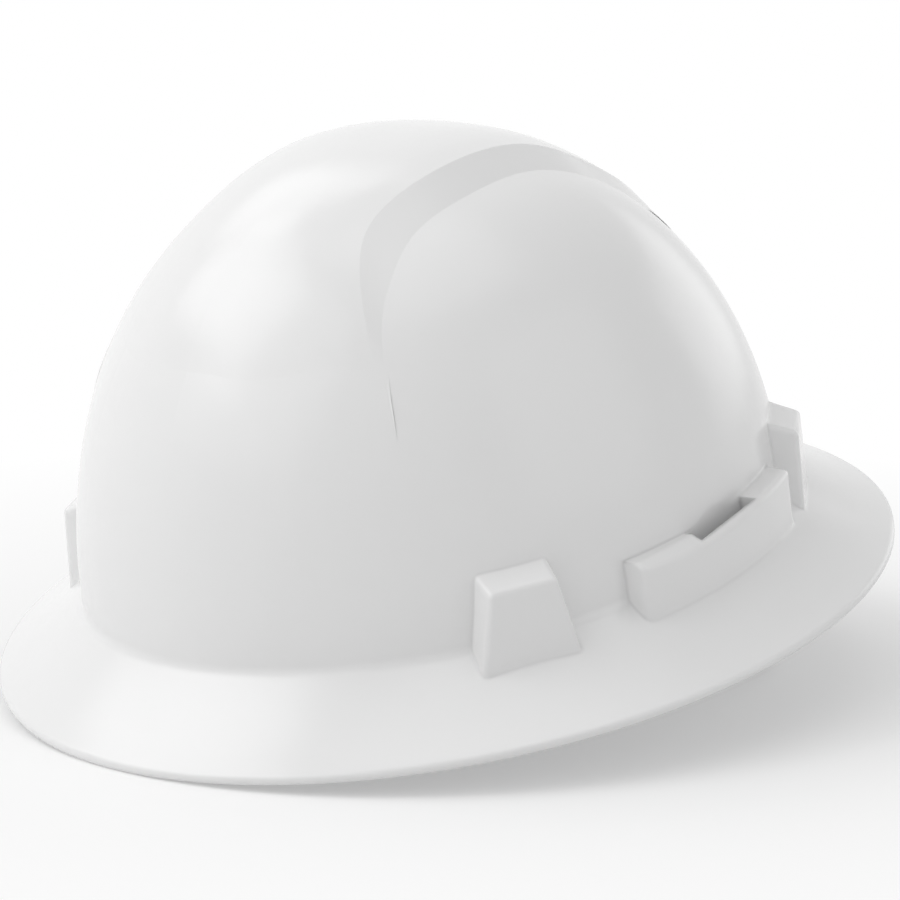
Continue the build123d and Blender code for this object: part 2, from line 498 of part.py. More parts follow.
def cover_solid():
    low, high = NAPE_Z - HOUSE_HALF, NAPE_Z + HOUSE_HALF
    cover = arc_block(COVER_R, COVER_R + COVER_THICK, -HOUSE_TURN, HOUSE_TURN, low, high)
    cover = cover & nape_outline(0)
    cover = cover - rod(PIVOT_R + RUN, COVER_Y0 - SCREW_LONG, WALL_Y1, 0, NAPE_Z)
    for x, z in screw_spots():
        y = NAPE_Y + sqrt(COVER_R ** 2 - x ** 2)
        cover = cover - rod(SCREW_R + RUN, y - SCREW_LONG, y + SCREW_LONG, x, z)
        cover = cover - rod(SCREW_HEAD_R + RUN, y - SCREW_LONG, y + SCREW_HEAD + SCREW_SINK, x, z)
    return cover


def screw_solids():
    screws = []
    for x, z in screw_spots():
        y = NAPE_Y + sqrt(COVER_R ** 2 - x ** 2)
        screw = rod(SCREW_HEAD_R, y + SCREW_SINK, y + SCREW_HEAD + SCREW_SINK, x, z)
        screw = screw + rod(SCREW_R, y + SCREW_HEAD, y + SCREW_LONG, x, z)
        wide, thin = SCREW_HEAD_R * 0.62, SCREW_HEAD / 4
        screws.append(screw - box(x - wide, x + wide, y - OVER, y + SCREW_HEAD / 2, z - thin, z + thin))
    return Compound(children=screws)


def housing_solid():
    inner = COVER_R + COVER_THICK
    body = arc_block(inner, HOUSE_OUT_R, -HOUSE_TURN, HOUSE_TURN, NAPE_Z - HOUSE_HALF, NAPE_Z + HOUSE_HALF)
    body = body & nape_outline(0)
    body = body + rod(BOSS_R, WALL_Y1 - HOUSE_WALL, BOSS_Y1, 0, NAPE_Z)
    half = RACK_HALF + CLEAR
    open_turn = HOUSE_TURN * 1.2
    body = body - arc_block(inner - OVER, HOUSE_IN_R, -open_turn, open_turn, NAPE_Z - half, NAPE_Z + half)
    body = body - rod(SHAFT_R + RUN, COVER_Y0, BOSS_Y1 + OVER, 0, NAPE_Z)
    ring = rod(DETENT_R, WALL_Y1, BOSS_Y1 + OVER, 0, NAPE_Z)
    for k in range(DETENT_TEETH):
        a = 2 * pi * k / DETENT_TEETH
        x, z = DETENT_R * sin(a), NAPE_Z + DETENT_R * cos(a)
        ring = ring + rod(DETENT_RISE, WALL_Y1, BOSS_Y1 + OVER, x, z)
    body = body - ring
    for x, z in screw_spots():
        y = NAPE_Y + sqrt(COVER_R ** 2 - x ** 2)
        body = body - rod(SCREW_R + RUN, y - SCREW_LONG, y + SCREW_LONG + CLEAR, x, z)
    return body


def hexagon(r, y0, y1):
    return axial(make_face(RegularPolygon(r, 6).edges()), y0, y1)


def pinion_solid():
    gear = axial(gear_face(), GEAR_Y0, GEAR_Y1)
    pivot = rod(PIVOT_R, COVER_Y0 + CLEAR, GEAR_Y0, 0, NAPE_Z)
    shaft = rod(SHAFT_R, GEAR_Y1, WALL_Y1 + STEM_STEP, 0, NAPE_Z)
    stem = hexagon(HEX_R, WALL_Y1 + STEM_STEP, KNOB_Y0 + KNOB_LONG * 0.55)
    screw = rod(SCREW_R + RUN, KNOB_Y0, KNOB_Y1, 0, NAPE_Z)
    return gear + pivot + shaft + stem - screw


def detent_solid():
    # A hub on the pinion's stem with two bent arms whose tips stand in the notches
    y0, y1 = WALL_Y1 + 2 * CLEAR, BOSS_Y1 - 2 * CLEAR
    ring_out = DETENT_R - DETENT_GAP
    ring_in = ring_out - DETENT_ARM
    ring = rod(ring_out, y0, y1, 0, NAPE_Z) - rod(ring_in, y0 - OVER, y1 + OVER, 0, NAPE_Z)
    low, high = NAPE_Z - SHAFT_R, NAPE_Z - SHAFT_R + DETENT_SHOULDER
    arm = ring & box(0, DETENT_R, y0, y1, low, NAPE_Z + DETENT_R)
    arm = arm + box(HEX_R, (ring_out + ring_in) / 2, y0, y1, low, high)
    arm = arm + rod(DETENT_TIP, y0, y1, DETENT_TIP * 0.75, NAPE_Z + ring_out + DETENT_GAP * 0.3)
    other = Pos(0, 0, NAPE_Z) * Rot(0, 180, 0) * Pos(0, 0, -NAPE_Z) * arm
    hub = rod(HEX_R + DETENT_GAP, y0, y1, 0, NAPE_Z)
    return hub + arm + other - hexagon(HEX_R + RUN, y0 - OVER, y1 + OVER)


def knob_solid():
    knob = rod(KNOB_R, KNOB_Y0, KNOB_Y1, 0, NAPE_Z)
    knob = fillet(knob.edges().sort_by(Axis.Y)[-1:], KNOB_ROUND)
    reach = KNOB_R + KNOB_GRIP_R * 0.55
    for k in range(KNOB_GRIPS):
        a = 2 * pi * k / KNOB_GRIPS
        x, z = reach * sin(a), NAPE_Z + reach * cos(a)
        knob = knob - rod(KNOB_GRIP_R, KNOB_Y0 - OVER, KNOB_Y1 + OVER, x, z)
    knob = knob - hexagon(HEX_R + RUN, KNOB_Y0 - OVER, KNOB_Y0 + KNOB_LONG * 0.55 + CLEAR)
    knob = knob - rod(SCREW_R + RUN, KNOB_Y0, KNOB_Y1 + OVER, 0, NAPE_Z)
    return knob - rod(SCREW_HEAD_R * 1.4, KNOB_Y1 - KNOB_SINK, KNOB_Y1 + OVER, 0, NAPE_Z)


def knob_screw_solid():
    seat = KNOB_Y1 - KNOB_SINK
    top = seat + SCREW_HEAD * 1.4
    head = rod(SCREW_HEAD_R * 1.3, seat, top, 0, NAPE_Z)
    wide, thin = SCREW_HEAD_R, SCREW_HEAD * 0.3
    head = head - box(-wide, wide, top - SCREW_HEAD / 2, top + OVER, NAPE_Z - thin, NAPE_Z + thin)
    return head + rod(SCREW_R, seat - SCREW_LONG * 1.3, seat, 0, NAPE_Z)


def nape_pad_solid():
    r1 = COVER_R - CLEAR
    pad = arc_block(r1 - PAD_THICK, r1, -PAD_TURN, PAD_TURN, NAPE_Z - PAD_HALF, NAPE_Z + PAD_HALF)
    upright = pad.edges().filter_by(lambda e: abs(e.center().Z - NAPE_Z) < RUN and e.length > PAD_HALF)
    return fillet(upright, PAD_ROUND)


def tail_solid(r, side):
    # A thin strip from the band's side, whose lower end lies on the rack's arc
    start, off = radians(TAIL_TURN), RACK_THICK / 2 + RUN
    wide, long = BAND_WIDE + off, BAND_LONG + off
    x0, y0 = wide * sin(start), -long * cos(start)
    mouth, lead = (turn_of(arc, r + RACK_THICK / 2) for arc in (RACK_END + CLEAR, TAIL_LEAD))
    x1, y1 = nape(r + RACK_THICK / 2, lead)
    leave = (side * cos(start) * wide, long * sin(start))
    arrive = (-side * cos(radians(lead)), sin(radians(lead)))
    middle = Spline((side * x0, y0), (side * x1, y1), tangents=[leave, arrive])
    half = RACK_THICK / 2
    near, far = [], []
    for k in range(7):
        p, d = middle.position_at(k / 6), middle.tangent_at(k / 6)
        near.append((p.X - d.Y * half, p.Y + d.X * half))
        far.append((p.X + d.Y * half, p.Y - d.X * half))
    outline = Spline(*near) + Line(near[-1], far[-1]) + Spline(*reversed(far)) + Line(far[0], near[0])
    strip = Pos(0, 0, -RIM_WIDE / 2) * extrude(make_face(outline), RIM_WIDE)
    low0, top0 = BAND_LOW_Z, BAND_LOW_Z + 2 * RACK_HALF
    low1, top1 = NAPE_Z - RACK_HALF, NAPE_Z + RACK_HALF
    ya, yb, ym = y0 - OVER, y1 + OVER, (y0 + y1) / 2
    under = Spline((ya, low0), (ym, (low0 + low1) / 2), (yb, low1), tangents=[(1, 0), (1, 0)])
    above = Spline((yb, top1), (ym, (top0 + top1) / 2), (ya, top0), tangents=[(-1, 0), (-1, 0)])
    profile = under + Line((yb, low1), (yb, top1)) + above + Line((ya, top0), (ya, low0))
    strip = strip & extrude(Plane.YZ * make_face(profile), RIM_WIDE, both=True)
    return strip + arc_block(r, r + RACK_THICK, *sorted((side * mouth, side * lead)), low1, top1)


def rivet_solid(cross):
    x, y = cross.X, cross.Y
    top, low = STRAP_CROWN_Z + STRAP_THICK / 2, STRAP_CROWN_Z - STRAP_LOWER - STRAP_THICK / 2 - CLEAR
    off = RIVET_HEAD / 2 + RUN
    stem = Pos(x, y, (top + low) / 2) * Cylinder(RIVET_R, top - low + RIVET_HEAD)
    cap = Pos(x, y, top + off) * Cylinder(RIVET_HEAD_R, RIVET_HEAD)
    cap = fillet(cap.edges().sort_by(Axis.Z)[-1:], RIVET_ROUND)
    under = Pos(x, y, low - off) * Cylinder(RIVET_HEAD_R, RIVET_HEAD)
    under = fillet(under.edges().sort_by(Axis.Z)[:1], RIVET_ROUND)
    return stem + cap + under


def key_sockets(shell, spots):
    half = KEY_WIDE / 2 + CLEAR
    well = box(KEY_OUT - CLEAR, KEY_OUT + KEY_THICK + CLEAR, -half, half, 0, KEY_TOP_Z + CLEAR)
    return shell - spots["front_left"] * well - spots["rear_left"] * well


def slot_cut():
    # The blade slot between the dome's wall and the outer wall of its housing
    along = (SLOT_Y - FOOT_Y) / FOOT_LONG
    x = FOOT_WIDE * sqrt(1 - along ** 2)
    nx, ny = x / FOOT_WIDE ** 2, along / FOOT_LONG
    size = hypot(nx, ny)
    plane = Plane((x, SLOT_Y, 0), x_dir=(nx / size, ny / size, 0), z_dir=(0, 0, 1))
    half = SLOT_LONG / 2
    return plane * box(-SLOT_BITE, SLOT_GAP - SLOT_LAND, -half, half, SLOT_FLOOR_Z, SLOT_TOP_IN_Z * 2)


def build():
    spots = key_spots()
    left = strap_line(spots["front_left"], spots["rear_right"])
    right = strap_line(spots["front_right"], spots["rear_left"])
    nodes = {}
    half = key_sockets(half_shell(), spots) - slot_cut()
    shell = half + mirrored(half)
    strap_a = strap_solid(spots["front_left"], spots["rear_right"], 0)
    strap_b = strap_solid(spots["front_right"], spots["rear_left"], STRAP_LOWER)
    cross = left[0].origin
    hole = Pos(cross.X, cross.Y, STRAP_CROWN_Z) * Cylinder(RIVET_R + RUN, RIM_LONG / 8)
    nodes["shell"] = shell
    nodes["strap_left"] = strap_a - hole
    nodes["strap_right"] = strap_b - hole
    nodes["crown_rivet"] = rivet_solid(cross)
    nodes["key_front_left"] = key_solid(spots["front_left"], left[0], left[1])
    nodes["key_front_right"] = key_solid(spots["front_right"], right[0], right[1])
    nodes["key_rear_left"] = key_solid(spots["rear_left"], right[0], -right[2])
    nodes["key_rear_right"] = key_solid(spots["rear_right"], left[0], -left[2])
    nodes["height_pegs"] = Compound(children=[peg_solid(spot) for spot in spots.values()])
    nodes["headband"] = band_solid(spots)
    nodes["brow_pad"] = brow_solid()
    nodes["tail_left"] = tail_solid(RACK_OUT_R, 1)
    nodes["tail_right"] = tail_solid(RACK_IN_R, -1)
    nodes["rack_left"] = rack_solid(RACK_OUT_R, True, 1)
    nodes["rack_right"] = rack_solid(RACK_IN_R, False, -1)
    nodes["ratchet_housing"] = housing_solid()
    nodes["ratchet_cover"] = cover_solid()
    nodes["cover_screws"] = screw_solids()
    nodes["pinion"] = pinion_solid()
    nodes["detent_spring"] = detent_solid()
    nodes["knob"] = knob_solid()
    nodes["knob_screw"] = knob_screw_solid()
    nodes["nape_pad"] = nape_pad_solid()
    return nodes


# The hat leans forward on its rim and on the ratchet, and its box is centred at the origin
def placement(nodes):
    leaned = {name: Rot(LEAN, 0, 0) * shape for name, shape in nodes.items()}
    boxes = [shape.bounding_box() for shape in leaned.values()]
    x = (min(b.min.X for b in boxes) + max(b.max.X for b in boxes)) / 2
    y = (min(b.min.Y for b in boxes) + max(b.max.Y for b in boxes)) / 2
    z = min(b.min.Z for b in boxes)
    return Pos(-x, -y, -z) * Rot(LEAN, 0, 0)


if __name__ == "__main__":
    solids = build()
    place = placement(solids)
    for name, shape in solids.items():
        export_step(place * shape, f"parts/{name}.step")
        print(name, len(shape.solids()), round(shape.volume), shape.is_valid)
    print("lean", LEAN, "shift", place.position)
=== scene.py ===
import json
from math import atan2, cos, exp, pi, radians, sin, sqrt

import bpy
from mathutils import Matrix, Vector


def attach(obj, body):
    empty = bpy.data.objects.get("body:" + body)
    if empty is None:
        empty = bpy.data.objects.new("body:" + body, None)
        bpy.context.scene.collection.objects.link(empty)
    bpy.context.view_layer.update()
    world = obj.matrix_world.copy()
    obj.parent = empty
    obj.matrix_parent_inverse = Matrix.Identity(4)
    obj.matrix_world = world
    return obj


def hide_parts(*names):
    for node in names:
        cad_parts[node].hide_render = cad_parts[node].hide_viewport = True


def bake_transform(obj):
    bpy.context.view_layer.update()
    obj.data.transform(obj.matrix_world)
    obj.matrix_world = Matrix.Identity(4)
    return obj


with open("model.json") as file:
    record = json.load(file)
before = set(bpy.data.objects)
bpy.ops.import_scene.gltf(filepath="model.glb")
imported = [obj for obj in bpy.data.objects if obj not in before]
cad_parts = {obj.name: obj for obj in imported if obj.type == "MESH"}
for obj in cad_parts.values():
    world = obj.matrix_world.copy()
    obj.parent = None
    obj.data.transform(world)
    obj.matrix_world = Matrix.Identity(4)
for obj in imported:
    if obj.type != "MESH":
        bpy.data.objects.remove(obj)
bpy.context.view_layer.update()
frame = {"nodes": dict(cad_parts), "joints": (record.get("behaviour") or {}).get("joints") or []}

# The hat is drawn in millimetres with its rim plane at Z = 0 and its front towards -Y,
# then leaned about X and lifted as it stands on its rim and ratchet.
MM = 0.001
slide = next(joint for joint in frame["joints"] if joint["name"] == "size_adjust")
LEAN = atan2(-slide["axis"][2], -slide["axis"][1])
ORIGIN = Vector((0.0, 0.278397, 28.3427)) * MM
STAND = Matrix.Translation(ORIGIN) @ Matrix.Rotation(LEAN, 4, "X")

# Foot of the dome, key places and straps
FOOT_LONG, FOOT_WIDE, FOOT_Y = 122.84, 103.19, -3.52
POCKET_FRONT_TURN, POCKET_REAR_TURN = 59.5, 50.0
STRAP_WIDE, STRAP_THICK = 19.0, 1.2
STRAP_IN_FRONT, STRAP_IN_REAR = 12.0, 11.6
STRAP_SPRING_Z, STRAP_CROWN_Z, STRAP_END_Z = 34.0, 115.0, 21.6
HEM_THICK, HEM_TALL, HEM_ROLL_SHARE = 3.4, 3.6, 0.42
SELVEDGE = 0.12
# Room left where soft pieces lie on others
LAP = 0.3

# Head band, pads and tails
BAND_LONG, BAND_WIDE, BAND_THICK = 104.6, 82.6, 1.6
BROW_THICK, BROW_TURN, BROW_LOW_Z, BROW_TOP_Z = 3.2, 45.0, -8.0, 24.0
NAPE_Y, NAPE_Z = 14.0, -30.0
COVER_R = 88.0
PAD_THICK, PAD_HALF, PAD_TURN = 5.6, 13.0, 26.0
PAD_LIFT = 0.1
BROW_REACH_SHARE = 0.93
BROW_SEAM, NAPE_SEAM = 2.4, 3.0
RACK_HALF, RACK_THICK = 10.0, 1.2
RACK_LEFT_R, RACK_RIGHT_R = 91.6, 90.0
TAIL_TURN, TAIL_LEAD_ARC, TAIL_THICK, TAIL_HALF = 94.0, 76.0, 1.5, 10.15
TAIL_LIFT = 0.06
HOUSE_TURN = 37.0
BAND_LOW_Z = -6.0

# Shape of a cushion, in shares of its thickness or half width, with the groove's width in mm
CORNER_SHARE, END_SHARE = 0.7, 0.45
SOFT_SHARE, SOFT_POWER = 0.9, 2.6
GROOVE_DEEP, GROOVE_WIDE_MM = 0.32, 0.55
CROWN_SHARE = 0.18

# Sewing: the thread, the stitches at a strap's ends, and those along a cushion's seam, which
# begin and end at shares of their pitch
THREAD, THREAD_PROUD = 0.35, 0.1
STRAP_ROWS, STRAP_ROWS_OFF = (2.2, 5.0), 8.0
STRAP_STITCHES, STRAP_PITCH, STRAP_STITCH_LONG, STRAP_STITCH_MIDDLE = 7, 2.3, 1.7, 3.4
SEAM_PITCH, SEAM_REACH_SHARE = 1.6, 0.93
SEAM_BEGIN, SEAM_END = 0.1, 0.75

# Squares of the flat grids, across and along
STRAP_GRID, PAD_GRID, TAIL_GRID = (12, 160), (40, 150), (10, 70)
SHEET_ROUND = 0.3

# Heights above the rim between which the shell's soft edges narrow to a share of their width
CRISP_LOW_Z, CRISP_HIGH_Z, CRISP_SHARE = 50.0, 62.0, 0.15

# Scuffs lie where scratches and worn patches meet; each begins at one level of its noise and is
# full at the other
SCRATCH_SCALE, SCRATCH_FROM, SCRATCH_FULL = 160.0, 0.62, 0.75
PATCH_SCALE, PATCH_FROM, PATCH_FULL = 14.0, 0.45, 0.65
# Punched holes of the pads, sunk by bump and painted near black as the shade inside them
HOLE_PITCH, HOLE_FROM, HOLE_FULL = 4.2, 0.72, 0.86

# Studio
WORLD_LEVEL = 0.46
FLOOR_SIZE, FLOOR_NEAR, FLOOR_FAR, FLOOR_LEAST = 12, 0.17, 0.4, 0.4
# A soft box's fade keeps 0.64 of its light, and the gain gives it back
FADE_POWER, FADE_GAIN = 4.0, 1.5625


def select_only(*pieces):
    bpy.ops.object.select_all(action="DESELECT")
    for piece in pieces:
        piece.select_set(True)
    bpy.context.view_layer.objects.active = pieces[-1]


def apply_modifiers(piece):
    select_only(piece)
    for modifier in list(piece.modifiers):
        bpy.ops.object.modifier_apply(modifier=modifier.name)


# Places a piece drawn in millimetres in the hat's own frame
def stand(piece):
    piece.data.transform(Matrix.Scale(MM, 4))
    piece.data.transform(STAND)
    piece.data.update()


def grid(name, across, along):
    bpy.ops.object.select_all(action="DESELECT")
    bpy.ops.mesh.primitive_grid_add(x_subdivisions=across, y_subdivisions=along, size=2)
    piece = bpy.context.object
    piece.name = name
    return piece


# Writes a flat grid's UV map in millimetres, before the grid is bent
def measured_uv(piece, half_across, half_along):
    for loop in piece.data.loops:
        flat = piece.data.vertices[loop.vertex_index].co
        spot = (flat.x * half_across, flat.y * half_along)
        piece.data.uv_layers.active.data[loop.index].uv = spot


# Bends a flat grid: rule gives each place from its shares across and along, from -1 to 1
def bend(piece, rule):
    for vertex in piece.data.vertices:
        vertex.co = rule(vertex.co.x, vertex.co.y)
    piece.data.update()


def thicken(piece, thick, rounding):
    solid = piece.modifiers.new("thickness", "SOLIDIFY")
    solid.thickness = thick
    solid.offset = 0
    bevel = piece.modifiers.new("edge", "BEVEL")
    bevel.width = rounding
    bevel.segments = 2
    bevel.limit_method = "ANGLE"
    bevel.angle_limit = radians(60)
    apply_modifiers(piece)


def outward(piece):
    select_only(piece)
    bpy.ops.object.mode_set(mode="EDIT")
    bpy.ops.mesh.select_all(action="SELECT")
    bpy.ops.mesh.remove_doubles(threshold=0.00001)
    bpy.ops.mesh.normals_make_consistent(inside=False)
    bpy.ops.object.mode_set(mode="OBJECT")


def smooth(piece, angle):
    select_only(piece)
    bpy.ops.object.shade_smooth_by_angle(angle=radians(angle))


def joined(name, pieces):
    select_only(*pieces)
    bpy.ops.object.join()
    whole = bpy.context.object
    whole.name = name
    return whole


# A shader effect that several finishes share: named numbers go in and come out
def group(name, inputs, outputs):
    tree = bpy.data.node_groups.new(name, "ShaderNodeTree")
    number = "NodeSocketFloat"
    for label, value in inputs:
        socket = tree.interface.new_socket(name=label, in_out="INPUT", socket_type=number)
        socket.default_value = value
    for label in outputs:
        tree.interface.new_socket(name=label, in_out="OUTPUT", socket_type=number)
    return tree, tree.nodes.new("NodeGroupInput"), tree.nodes.new("NodeGroupOutput")


# Places a shared effect in a material with the values of one finish
def effect_of(tree, shared, values):
    node = tree.nodes.new("ShaderNodeGroup")
    node.node_tree = shared
    for label, value in values.items():
        node.inputs[label].default_value = value
    return node


def maths(tree, operation, a, b=None, clamp=False):
    node = tree.nodes.new("ShaderNodeMath")
    node.operation = operation
    node.use_clamp = clamp
    for socket, value in zip(node.inputs, (a, b)):
        if value is None:
            continue
        if isinstance(value, (int, float)):
            socket.default_value = value
        else:
            tree.links.new(value, socket)
    return node.outputs[0]


def noise(tree, place, scale, detail=3.0, roughness=0.55):
    node = tree.nodes.new("ShaderNodeTexNoise")
    node.inputs["Detail"].default_value = detail
    node.inputs["Roughness"].default_value = roughness
    tree.links.new(place, node.inputs["Vector"])
    if isinstance(scale, (int, float)):
        node.inputs["Scale"].default_value = scale
    else:
        tree.links.new(scale, node.inputs["Scale"])
    return node.outputs["Fac"]


def ramp(tree, value, low, high, least=0.0, most=1.0):
    node = tree.nodes.new("ShaderNodeMapRange")
    node.inputs["From Min"].default_value = low
    node.inputs["From Max"].default_value = high
    node.inputs["To Min"].default_value = least
    node.inputs["To Max"].default_value = most
    tree.links.new(value, node.inputs["Value"])
    return node.outputs["Result"]


# Moulded plastic: slow waves of the mould, fine grain, and faint scuffs
def moulded_group():
    tree, start, end = group(
        "moulded_surface",
        [("Grain Scale", 900.0), ("Wave Scale", 30.0), ("Grain Share", 0.4),
         ("Roughness", 0.3), ("Scuff", 0.1)],
        ["Height", "Roughness", "Scuff Mask"])
    place = tree.nodes.new("ShaderNodeTexCoord").outputs["Object"]
    grain = noise(tree, place, start.outputs["Grain Scale"], 2.0)
    wave = noise(tree, place, start.outputs["Wave Scale"], 1.0)
    fine = maths(tree, "MULTIPLY", grain, start.outputs["Grain Share"])
    tree.links.new(maths(tree, "ADD", fine, wave), end.inputs["Height"])
    scratch_map = tree.nodes.new("ShaderNodeMapping")
    scratch_map.inputs["Scale"].default_value = (1.0, 6.0, 2.5)
    scratch_map.inputs["Rotation"].default_value = (0.5, 0.3, 0.8)
    tree.links.new(place, scratch_map.inputs["Vector"])
    scratch = noise(tree, scratch_map.outputs["Vector"], SCRATCH_SCALE, 6.0, 0.7)
    patches = noise(tree, place, PATCH_SCALE, 2.0)
    scratched = ramp(tree, scratch, SCRATCH_FROM, SCRATCH_FULL)
    patchy = ramp(tree, patches, PATCH_FROM, PATCH_FULL)
    mask = maths(tree, "MULTIPLY", scratched, patchy)
    mask = maths(tree, "MULTIPLY", mask, start.outputs["Scuff"], True)
    tree.links.new(mask, end.inputs["Scuff Mask"])
    varied = maths(tree, "MULTIPLY", maths(tree, "SUBTRACT", grain, 0.5), 0.1)
    rough = maths(tree, "ADD", start.outputs["Roughness"], varied)
    tree.links.new(maths(tree, "ADD", rough, mask, True), end.inputs["Roughness"])
    return tree


# Plain weave on a strip whose UV map is in millimetres. Its Shade output is painted shade between
# the threads, dark in the dips and light on the crowns, with random tone from the fuzz
def weave_group():
    tree, start, end = group(
        "plain_weave", [("Threads Across", 0.9), ("Threads Along", 1.3)], ["Height", "Shade"])
    uv = tree.nodes.new("ShaderNodeTexCoord").outputs["UV"]
    split = tree.nodes.new("ShaderNodeSeparateXYZ")
    tree.links.new(uv, split.inputs[0])
    across = maths(tree, "MULTIPLY", split.outputs["X"], start.outputs["Threads Across"])
    along = maths(tree, "MULTIPLY", split.outputs["Y"], start.outputs["Threads Along"])
    warp = maths(tree, "ABSOLUTE", maths(tree, "SINE", maths(tree, "MULTIPLY", across, pi)))
    weft = maths(tree, "ABSOLUTE", maths(tree, "SINE", maths(tree, "MULTIPLY", along, pi)))
    over = maths(tree, "ADD", maths(tree, "FLOOR", across), maths(tree, "FLOOR", along))
    turn = maths(tree, "PINGPONG", over, 1.0)
    mix = tree.nodes.new("ShaderNodeMix")
    tree.links.new(turn, mix.inputs["Factor"])
    tree.links.new(warp, mix.inputs["A"])
    tree.links.new(weft, mix.inputs["B"])
    fuzz = noise(tree, uv, 6.0, 4.0)
    height = maths(tree, "ADD", mix.outputs["Result"], maths(tree, "MULTIPLY", fuzz, 0.3))
    tree.links.new(height, end.inputs["Height"])
    # Shade is painted shade: dark at the thread edges and dips, light on the thread crowns, plus
    # random tone from the fuzz
    tree.links.new(maths(tree, "MULTIPLY", height, 0.8, True), end.inputs["Shade"])
    return tree


MOULDED, WEAVE = moulded_group(), weave_group()


def material(name):
    made = bpy.data.materials.new(name)
    made.use_nodes = True
    return made, made.node_tree, made.node_tree.nodes["Principled BSDF"]


# soft_edge is the radius by which the shading rounds the edges
def bump(tree, shader, height, distance, soft_edge=0.0):
    node = tree.nodes.new("ShaderNodeBump")
    if soft_edge:
        edge = tree.nodes.new("ShaderNodeBevel")
        edge.samples = 8
        edge.inputs["Radius"].default_value = soft_edge
        tree.links.new(edge.outputs["Normal"], node.inputs["Normal"])
    node.inputs["Distance"].default_value = distance
    tree.links.new(height, node.inputs["Height"])
    tree.links.new(node.outputs["Normal"], shader.inputs["Normal"])


def tint(tree, shader, mask, plain, marked):
    mix = tree.nodes.new("ShaderNodeMix")
    mix.data_type = "RGBA"
    mix.inputs["A"].default_value = (*plain, 1)
    mix.inputs["B"].default_value = (*marked, 1)
    tree.links.new(mask, mix.inputs["Factor"])
    tree.links.new(mix.outputs["Result"], shader.inputs["Base Color"])


def plastic(name, colour, worn, roughness, grain, grain_share, wave, depth, scuff, soft_edge):
    made, tree, shader = material(name)
    effect = effect_of(tree, MOULDED, {
        "Grain Scale": grain, "Wave Scale": wave, "Grain Share": grain_share,
        "Roughness": roughness, "Scuff": scuff})
    tree.links.new(effect.outputs["Roughness"], shader.inputs["Roughness"])
    tint(tree, shader, effect.outputs["Scuff Mask"], colour, worn)
    bump(tree, shader, effect.outputs["Height"], depth, soft_edge)
    shader.inputs["IOR"].default_value = 1.5
    return made


# Pockets and slot housings keep wide round edges; above them the crest's creases stay crisp
def crisp_crest(made):
    tree = made.node_tree
    edge = next(node for node in tree.nodes if node.bl_idname == "ShaderNodeBevel")
    place = tree.nodes.new("ShaderNodeTexCoord").outputs["Object"]
    above = tree.nodes.new("ShaderNodeVectorMath")
    above.operation = "DOT_PRODUCT"
    tree.links.new(place, above.inputs[0])
    above.inputs[1].default_value = STAND.to_3x3() @ Vector((0, 0, 1))
    wide = edge.inputs["Radius"].default_value
    low_end, high_end = ORIGIN.z + CRISP_LOW_Z * MM, ORIGIN.z + CRISP_HIGH_Z * MM
    width = ramp(tree, above.outputs["Value"], low_end, high_end, 1.0, CRISP_SHARE)
    tree.links.new(maths(tree, "MULTIPLY", width, wide), edge.inputs["Radius"])


shell_plastic = plastic(
    "shell_plastic", colour=(0.80, 0.80, 0.80), worn=(0.72, 0.72, 0.72), roughness=0.18,
    grain=700, grain_share=0.02, wave=22, depth=0.0006, scuff=0.06, soft_edge=0.0022)
band_plastic = plastic(
    "band_plastic", colour=(0.17, 0.18, 0.19), worn=(0.26, 0.27, 0.28), roughness=0.42,
    grain=1400, grain_share=0.5, wave=60, depth=0.0002, scuff=0.25, soft_edge=0.0004)
trim_plastic = plastic(
    "trim_plastic", colour=(0.09, 0.09, 0.1), worn=(0.17, 0.17, 0.17), roughness=0.38,
    grain=1600, grain_share=0.8, wave=70, depth=0.0002, scuff=0.3, soft_edge=0.0006)
knob_plastic = plastic(
    "knob_plastic", colour=(0.055, 0.055, 0.06), worn=(0.13, 0.13, 0.13), roughness=0.45,
    grain=1800, grain_share=1.0, wave=60, depth=0.0003, scuff=0.35, soft_edge=0.0004)
gear_plastic = plastic(
    "gear_plastic", colour=(0.8, 0.79, 0.75), worn=(0.6, 0.6, 0.56), roughness=0.25,
    grain=900, grain_share=0.2, wave=50, depth=0.0001, scuff=0.1, soft_edge=0.0)
crisp_crest(shell_plastic)


def steel():
    made, tree, shader = material("screw_steel")
    place = tree.nodes.new("ShaderNodeTexCoord").outputs["Object"]
    brushed = tree.nodes.new("ShaderNodeMapping")
    brushed.inputs["Scale"].default_value = (1.0, 1.0, 14.0)
    tree.links.new(place, brushed.inputs["Vector"])
    lines = noise(tree, brushed.outputs["Vector"], 1500.0, 3.0)
    tint(tree, shader, lines, (0.45, 0.46, 0.47), (0.62, 0.62, 0.62))
    tree.links.new(ramp(tree, lines, -0.6, 2.2), shader.inputs["Roughness"])
    bump(tree, shader, lines, 0.00003)
    shader.inputs["Metallic"].default_value = 1.0
    return made


def webbing():
    made, tree, shader = material("strap_webbing")
    effect = effect_of(tree, WEAVE, {"Threads Across": 1.1, "Threads Along": 1.6})
    # The weave's Shade paints shade into the webbing's colour, from dark dips between threads to
    # light thread crowns
    tint(tree, shader, effect.outputs["Shade"], (0.045, 0.05, 0.06), (0.13, 0.145, 0.17))
    bump(tree, shader, effect.outputs["Height"], 0.0002)
    shader.inputs["Roughness"].default_value = 0.78
    shader.inputs["Sheen Weight"].default_value = 0.35
    return made


def thread_cotton():
    made, tree, shader = material("sewing_thread")
    place = tree.nodes.new("ShaderNodeTexCoord").outputs["Object"]
    twist = noise(tree, place, 3000.0, 2.0)
    tint(tree, shader, twist, (0.55, 0.55, 0.55), (0.8, 0.8, 0.8))
    bump(tree, shader, twist, 0.0001)
    shader.inputs["Roughness"].default_value = 0.7
    return made
